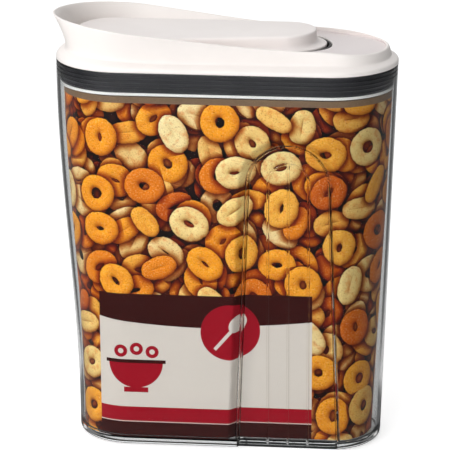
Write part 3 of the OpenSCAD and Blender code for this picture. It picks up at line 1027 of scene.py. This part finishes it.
@dataclass(frozen=True)
class Lid:
    """The white lid: skirt, shoulder, flaring spout, deck and ledge, with its liner and gasket."""

    shell: Shell = Shell()
    foot: Stadium = Stadium(-62, 48.6, 41, 2.6, 76, 36.8, 38, 2)
    lip: Stadium = Stadium(-60, 60.3, 47, 1.9, 76, 35.2, 36.5, 2)
    opening: Stadium = Stadium(-80, 28.9, 37.9, 2.4, 44, 28.4, 27.9, 2)
    chute: Stadium = Stadium(-80, 19, 28.5, 2.4, 16, 18, 20, 2)
    seat: float = 272.0
    wall: float = 2.0
    shoulder: float = 5.4
    rim_low: float = 14.7
    rim_high: float = 31.0
    rim_dip: float = 3.0
    neck: float = 3.2
    dish: float = 2.2
    deck: float = 284.0
    ledge: float = 281.0
    plate: float = 2.0
    roof: float = 275.2
    heel_x: float = 42.3
    plug: float = 255.5
    lip_h: float = 2.0

    def plan(self) -> RingPlan:
        """Points of the lid's rings."""
        return RingPlan(np.linspace(-90, 90, 65), np.linspace(0, 1, 29)[1:-1])

    def rim(self, x: np.ndarray) -> np.ndarray:
        """The rim's height over a place along the lid: low over the grip side, rising to the spout."""
        t = np.clip((76 - x) / 196, 0, 1)
        rise = self.rim_low + (self.rim_high - self.rim_low) * t * t * (2.5 - 1.5 * t)
        return self.seat + rise - self.rim_dip * smooth((x - 62) / 45)

    def sweep(self, plan: RingPlan, share: float, up: float) -> Ring:
        """A ring of the shoulder, a share of the way in from the skirt to the collar's foot, and up to it."""
        xy = plan.points(self.shell.outline(self.seat).mix(self.foot, share))
        return np.column_stack([xy, mix(self.seat + 2.3, self.neck_z(xy[:, 0]), up)])

    def neck_z(self, x: np.ndarray) -> np.ndarray:
        """The height of the collar's foot over a place along the lid."""
        return self.seat + self.shoulder + self.neck * smooth((-40 - x) / 70)

    def deck_z(self, xy: np.ndarray) -> np.ndarray:
        """The height of the deck over places on it, which dips past the hinge."""
        return self.deck - self.dish * smooth((xy[:, 0] - 62) / 26)

    def collar(self, plan: RingPlan, s: float, d: float, drop: float = 0.0) -> Ring:
        """A ring of the spout's wall.

        Args:
            plan: where its points stand.
            s: 0 at its foot and 1 at its rim.
            d: how far inside the outer face.
            drop: how far below its place.
        """
        xy = plan.points(self.foot.mix(self.lip, s ** 1.6).inset(d))
        return np.column_stack([xy, mix(self.neck_z(xy[:, 0]), self.rim(xy[:, 0]), s) - drop])

    def well(self, plan: RingPlan, s: float) -> Ring:
        """A ring of the spout's inner face, from the deck at 0 to the rim at 1."""
        low, high = plan.points(self.foot.inset(self.wall)), plan.points(self.lip.inset(self.wall))
        rim = self.rim(high[:, 0])
        z = mix(self.deck_z(low) + 0.5, rim, s)
        share = np.clip((z - self.ledge) / (rim - self.ledge), 0, 1) ** 1.6
        return np.column_stack([low + (high - low) * share[:, None], z])

    def build(self, finishes: Finishes) -> None:
        """Makes the lid's pieces."""
        self._shell(finishes)
        self._liner(finishes)
        self._gasket(finishes)

    def _shell(self, finishes: Finishes) -> None:
        """Makes the white shell."""
        plan, body, seat = self.plan(), self.shell.outline(self.seat), self.seat
        level = plan.level
        skirt = plan.stack((body, 0.35, seat), (body, 0.08, seat + 0.12), (body, 0, seat + 0.4),
                           (body, 0, seat + 1.6))
        sweeps = [self.sweep(plan, share, up)
                  for share, up in ((0.03, 0.0), (0.13, 0.25), (0.36, 0.5), (0.64, 0.72), (0.88, 0.9))]
        collar = [self.collar(plan, s, d) for s, d in ((0.05, -0.15), (0.2, 0), (0.45, 0), (0.7, 0), (0.93, 0))]
        shoulder = flowing([skirt[-1], *sweeps, *collar], 4)
        lip = [self.collar(plan, 1, d, drop)
               for d, drop in ((0.12, 0.4), (0.55, 0.06), (1, 0), (1.45, 0.06), (1.88, 0.4))]
        edge = flowing([collar[-1], *lip, self.well(plan, 0.9)], 3)
        inner = flowing([self.well(plan, s) for s in (0.9, 0.6, 0.3, 0.08)], 4)
        wall_foot = self.foot.inset(self.wall)
        room = self.foot.inset(self.wall + 0.25)
        wall, opening, below = self.shell.wall, self.opening, self.ledge - self.plate
        laid = lambda o, drop=0: np.column_stack([room.hold(plan.points(o)), self.deck_z(plan.points(o)) - drop])
        hold = lambda o, z: np.column_stack([room.hold(plan.points(o)), np.full(len(plan.points(o)), z)])
        deck = [self.well(plan, 0.0), laid(wall_foot.inset(0.5)), laid(opening.inset(-3.0)),
                laid(opening.inset(-0.7)), laid(opening.inset(-0.2), 0.15), laid(opening, 0.6), hold(opening, below)]
        under = plan.stack((wall_foot, 0, below), (wall_foot, 0, self.roof), (body, wall, self.roof),
                           (body, wall, seat))
        skin = Skin()
        above = skirt[:-1] + shoulder[:-1] + edge[:-1] + inner
        skin.band(above + deck + under, closed=True)
        # The deck's faces take the darker white, painted shade
        n, first, rows = len(above[0]), len(above), 3
        skin.mats[first * n:(first + rows) * n] = [1] * (rows * n)
        rim = hold(opening.inset(-0.3), self.ledge)
        rim[:, 0] = np.minimum(rim[:, 0], self.heel_x)
        drop = np.array([0, 0, self.plate])
        skin.band([rim - drop, rim, level(self.chute.inset(-0.3), self.ledge), level(self.chute, self.ledge - 0.3),
                   level(self.chute, below)], closed=True)
        put(skin.build("lid_shell_smooth", [finishes.white, finishes.deck], 38.0), Body.LID, Slot.WHITE, "lid_shell")

    def _liner(self, finishes: Finishes) -> None:
        """Makes the plug under the lid with its lip and its pouring chute."""
        plan, sh = self.plan(), self.shell
        at = sh.outline(self.plug)
        lip, wall, inner = at.inset(sh.wall + 0.5), at.inset(sh.wall + 2.7), at.inset(sh.wall + 2.7 + self.plate)
        chute, low, top = self.chute, self.plug, self.plug + self.lip_h
        tube, floor = chute.inset(-self.plate), low + self.plate
        roof, end = self.roof - 0.02, self.ledge - self.plate - 0.02
        skin = Skin()
        skin.band(plan.stack((chute, 0, low + 0.4), (chute, -0.4, low), (lip, 0.6, low), (lip, 0.15, low + 0.15),
                             (lip, 0, low + 0.6), (lip, 0, top - 0.4), (lip, 0.3, top), (wall, 0, top),
                             (wall, 0, roof), (inner, 0, roof), (inner, 0, floor + 1.5), (inner, 1.5, floor),
                             (tube, -1.0, floor), (tube, 0, floor + 1.0), (tube, 0, end), (chute, 0, end)),
                  closed=True)
        put(skin.build("lid_liner_smooth", [finishes.liner], 38.0), Body.LID, Slot.WHITE, "lid_liner")

    def _gasket(self, finishes: Finishes) -> None:
        """Makes the gasket's band, and its fins by geometry nodes."""
        plan, sh = self.plan(), self.shell
        low, top = self.plug + self.lip_h, self.seat - 0.3
        core = [plan.level(sh.outline(z, sh.wall + 1.35), z) for z in np.linspace(low, top, 9)]
        back = [plan.level(sh.outline(self.plug, sh.wall + 2.65), z) for z in (top, low)]
        skin = Skin()
        skin.band(core + back, closed=True)
        put(skin.build("gasket_band", [finishes.slate], 50.0), Body.LID, Slot.SLATE, "main_gasket")
        fins = FinRow(count=5, pitch=(top - low) / 5, radius=0.62)
        z = low + 0.62 * fins.pitch
        path = plan.level(sh.outline(z, sh.wall + 0.17 + fins.radius), z)
        grow = (sh.outline(z + 1).right_half - sh.outline(z).right_half) / sh.half
        put(fins.build(path, grow, finishes.slate), Body.LID, Slot.SLATE)


@dataclass(frozen=True)
class FinRow:
    """A row of soft fins round the plug, made by geometry nodes from one path."""

    count: int
    pitch: float
    radius: float

    def tree(self) -> tuple[bpy.types.NodeTree, dict[str, str]]:
        """Builds the node tree.

        Returns:
            The tree, and the identifier of each named input.
        """
        tree = bpy.data.node_groups.new("fin row", "GeometryNodeTree")
        kinds = {"Path": "Geometry", "Fins": "Int", "Pitch": "Float", "Fin Radius": "Float", "Growth": "Float",
                 "Finish": "Material"}
        ids = {label: tree.interface.new_socket(name=label, in_out="INPUT", socket_type="NodeSocket" + kind).identifier
               for label, kind in kinds.items()}
        tree.interface.new_socket(name="Fins Made", in_out="OUTPUT", socket_type="NodeSocketGeometry")
        g = Graph(tree)
        source, out = g.add("NodeGroupInput"), g.add("NodeGroupOutput")
        path, fins, pitch, radius, growth, finish = source.outputs[:6]
        line = g.out("GeometryNodeMeshToCurve", {0: path})
        up = {"Count": fins, "Offset": g.join(0.0, 0.0, pitch)}
        rows = g.out("GeometryNodeMeshLine", up, mode="OFFSET")
        index = g.out("GeometryNodeInputIndex")
        size = g.math("MULTIPLY_ADD", index, growth, 1.0)
        copies = {"Points": rows, "Instance": line, "Scale": g.join(size, size, 1.0)}
        placed = g.out("GeometryNodeInstanceOnPoints", copies)
        loose = g.out("GeometryNodeRealizeInstances", {0: placed})
        profile = g.out("GeometryNodeCurvePrimitiveCircle", {"Resolution": 12, "Radius": radius})
        swept = g.out("GeometryNodeCurveToMesh", {"Curve": loose, "Profile Curve": profile})
        soft = g.out("GeometryNodeSetShadeSmooth", {"Geometry": swept})
        real = g.out("GeometryNodeRealizeInstances", {0: soft})
        painted = g.out("GeometryNodeSetMaterial", {"Geometry": real, "Material": finish})
        g.feed(out.inputs[0], painted)
        return tree, ids

    def build(self, path: Ring, grow: float, material: Material) -> Piece:
        """Makes the fins.

        Args:
            path: the centre line of the lowest fin.
            grow: how much the wall widens for each millimetre up, as a share.
            material: their finish.

        Returns:
            The fins as one plain mesh.
        """
        n = len(path)
        centre = np.array([0, 0, path[0, 2]])
        mesh = bpy.data.meshes.new("fin_path")
        mesh.from_pydata(((path - centre) * MM).tolist(), [(i, (i + 1) % n) for i in range(n)], [])
        carrier = link("fin_path", mesh)
        tree, ids = self.tree()
        modifier = carrier.modifiers.new("fins", "NODES")
        modifier.node_group = tree
        values = {"Fins": self.count, "Pitch": self.pitch * MM, "Fin Radius": self.radius * MM,
                  "Growth": grow * self.pitch, "Finish": material}
        for label, value in values.items():
            modifier[ids[label]] = value
        carrier.update_tag()
        made = plain_mesh(carrier, "gasket_fins")
        made.data.transform(Matrix.Translation(Vector(centre * MM)))
        return made


def plain_mesh(carrier: Piece, name: str) -> Piece:
    """Turns what geometry nodes made into a plain mesh, and removes what carried them."""
    depsgraph = bpy.context.evaluated_depsgraph_get()
    made = carrier.evaluated_get(depsgraph)
    mesh = bpy.data.meshes.new_from_object(made, preserve_all_data_layers=True, depsgraph=depsgraph)
    mesh.name = name
    piece = link(name, mesh)
    carrier.modifiers.clear()
    bpy.data.objects.remove(carrier)
    return piece


@dataclass(frozen=True)
class Flap:
    """The hinged flap over the pour opening, with a low flange and a raised land."""

    base: Stadium = Stadium(-80, 26, 35, 2.4, 44, 24.8, 24.8, 2)
    land: Stadium = Stadium(-80, 25.2, 34.2, 2.4, 38.6, 23.2, 23.2, 2)
    low: float = 282.4
    flange: float = 284.6
    wall: float = 1.8
    top: float = 290.6
    rise: float = 3.7

    def ring(self, plan: RingPlan, d: float, drop: float) -> Ring:
        """A ring of the sloping land, drawn in by d and dropped by drop."""
        xy = plan.points(self.land.inset(d))
        return np.column_stack([xy, self.top + self.rise * (xy[:, 0] + 105) / 167 - drop])

    def build(self, finishes: Finishes) -> None:
        """Makes the flap's shell."""
        plan = RingPlan(np.linspace(-90, 90, 65), np.linspace(0, 1, 21)[1:-1])
        low, flange, wall, ring = self.low, self.flange, self.wall, self.ring
        part = lambda s, d, z: plan.level(self.base.mix(self.land, s).inset(d), z)
        foot = [part(0, 0.4, low), part(0, 0.1, low + 0.12), part(0, 0, low + 0.4), part(0, 0, flange - 0.7)]
        swell = [part(s, d, flange + rise) for s, d, rise in ((0.02, 0.1, -0.25), (0.1, 0.2, 0), (0.5, 0.1, 0.35),
                                                              (0.82, 0, 1.2), (0.96, 0, 2.3), (1, 0, 3.4))]
        land = [ring(plan, d, drop) for d, drop in ((0, 1.7), (0.12, 1.0), (0.5, 0.42), (1.1, 0.1), (1.8, 0.0))]
        side = flowing([foot[-1], *swell, *land], 4)
        inner = [ring(plan, wall + 0.3, wall), part(1, wall, flange + 1.0), part(0.6, wall, flange - 0.4),
                 part(0, wall, low + 1.0), part(0, wall, low)]
        skin = Skin()
        skin.band(foot[:-1] + side, top=plan)
        skin.band(inner, bottom=plan)
        skin.band([inner[-1], foot[0]])
        put(skin.build("flap_shell_smooth", [finishes.flap], 38.0), Body.FLAP, Slot.WHITE, "flap_shell")


@dataclass(frozen=True)
class Studio:
    """The floor, the lamps, the world and the camera."""

    azimuth: float = 5.7
    elevation: float = 17.5
    distance: float = 2.2
    target: Place = (0.0, 0.0, 0.136)
    focal_px: float = 3142.9
    centre_px: tuple[float, float] = (226.9, 247.06)
    frame_px: float = 450.0
    floor_half: float = 6.0
    floor_glow: float = 0.5
    floor_white: Colour = (0.86, 0.86, 0.86, 1.0)

    def build(self) -> None:
        """Sets the stage."""
        self._camera()
        self._floor()
        self._world()
        self._lamp("key", (-0.85, -1.7, 0.85), size=1.3, power=19.3)
        self._lamp("fill", (0.9, -1.7, 0.9), size=1.2, power=0.5)
        scene = bpy.context.scene
        scene.view_settings.view_transform = "Standard"

    def _camera(self) -> None:
        """Looks from where the photograph was taken."""
        a, e = math.radians(self.azimuth), math.radians(self.elevation)
        back = Vector((math.sin(a) * math.cos(e), -math.cos(a) * math.cos(e), math.sin(e)))
        data = bpy.data.cameras.new("camera")
        data.sensor_width = 36.0
        data.lens = self.focal_px * data.sensor_width / self.frame_px
        data.shift_x = -(self.centre_px[0] - self.frame_px / 2) / self.frame_px
        data.shift_y = (self.centre_px[1] - self.frame_px / 2) / self.frame_px
        bpy.context.scene.camera = self._aim("camera", data, Vector(self.target) + back * self.distance)

    def _aim(self, name: str, data: bpy.types.ID, place: Vector) -> Piece:
        """Stands a camera or a lamp where it faces the keeper."""
        piece = link(name, data)
        piece.location = place
        piece.rotation_mode = "QUATERNION"
        piece.rotation_quaternion = (Vector(self.target) - place).to_track_quat("-Z", "Y")
        return piece

    def _lamp(self, name: str, place: Place, size: float, power: float) -> None:
        """Hangs a soft square lamp that faces the keeper."""
        data = bpy.data.lights.new(name, "AREA")
        data.size, data.energy = size, power
        self._aim(name, data, Vector(place))

    def _floor(self) -> None:
        """Lays a pale floor that takes the keeper's shadow and is white around it."""
        mesh = bpy.data.meshes.new("floor")
        r = self.floor_half
        mesh.from_pydata([(-r, -r, 0), (r, -r, 0), (r, r, 0), (-r, r, 0)], [], [(0, 1, 2, 3)])
        floor = link("floor", mesh)
        material = bpy.data.materials.new("pale floor")
        g = Graph.blank(material)
        path = g.add("ShaderNodeLightPath")
        camera, gloss = (Num(g, path.outputs["Is " + kind + " Ray"]) for kind in ("Camera", "Glossy"))
        x, y, _ = g.parts(g.add("ShaderNodeTexCoord").outputs["Object"])
        # Rays that the clear edges bend land beside the keeper or close behind it, where the room is dim. So is the
        # floor before it, which the front faces mirror. Rays that cross both walls see the lit floor
        wide = (x + y * 0.1).size() - y.at_least(0.0) * 0.25
        beside = g.step(y, 0.12, 0.06).at_least(g.step(wide, 0.13, 0.2))
        close = g.step(wide, 0.16, 0.1) * g.step(y, -0.05, 0.0)
        shade = g.step(y, -0.12, -0.05, 0.03, 0.13) + close * 0.1
        across = Num(g, path.outputs["Transmission Depth"]) < 3.0
        matt = g.add("ShaderNodeBsdfDiffuse", {0: self.floor_white})
        glow = g.add("ShaderNodeEmission", {0: (1, 1, 1, 1), 1: camera * self.floor_glow})
        lit = g.add("ShaderNodeAddShader", {0: matt.outputs[0], 1: glow.outputs[0]})
        dim = g.add("ShaderNodeBsdfDiffuse", {0: g.tint(shade, shade, shade)})
        both = g.add("ShaderNodeMixShader", {0: gloss * beside * across, 1: lit.outputs[0], 2: dim.outputs[0]})
        g.add("ShaderNodeOutputMaterial", {0: both.outputs[0]})
        mesh.materials.append(material)

    def _world(self) -> None:
        """A white room, dimmer for the light that it gives."""
        world = bpy.data.worlds.new("room")
        g = Graph.blank(world)
        path = g.add("ShaderNodeLightPath")
        x, _, z = g.parts(g.add("ShaderNodeTexCoord").outputs["Generated"])
        sides = g.step(x.size(), 0.3, 0.85, 0.9, 0.1)
        gloss = g.math("MAXIMUM", path.outputs["Is Glossy Ray"], path.outputs["Is Transmission Ray"])
        soft = g.step(z, 0.0, 1.0, 0.45, 1.2) * g.step(x, -0.2, 0.9, 1.0, 0.1)
        dim = g.out("ShaderNodeMix", {0: gloss, 2: soft, 3: sides})
        white = g.math("MAXIMUM", dim, path.outputs["Is Camera Ray"])
        back = g.add("ShaderNodeBackground", {0: (1, 1, 1, 1), 1: white})
        g.add("ShaderNodeOutputWorld", {0: back.outputs[0]})
        bpy.context.scene.world = world


def main() -> None:
    """Builds the keeper and its stage, piece by piece."""
    logging.basicConfig(level=logging.INFO, format="%(name)s: %(message)s")
    Studio().build()
    finishes = Finishes()
    ClearBody().build(finishes)
    Sleeve().build(finishes)
    Lid().build(finishes)
    Flap().build(finishes)
    for node, material in (("heel_seal", finishes.black), ("hinge_pin_front", finishes.steel),
                           ("hinge_pin_rear", finishes.steel), ("flap_underplate", finishes.flap),
                           ("flap_seal", finishes.slate)):
        dress(node, material)


if __name__ == "__main__":
    main()
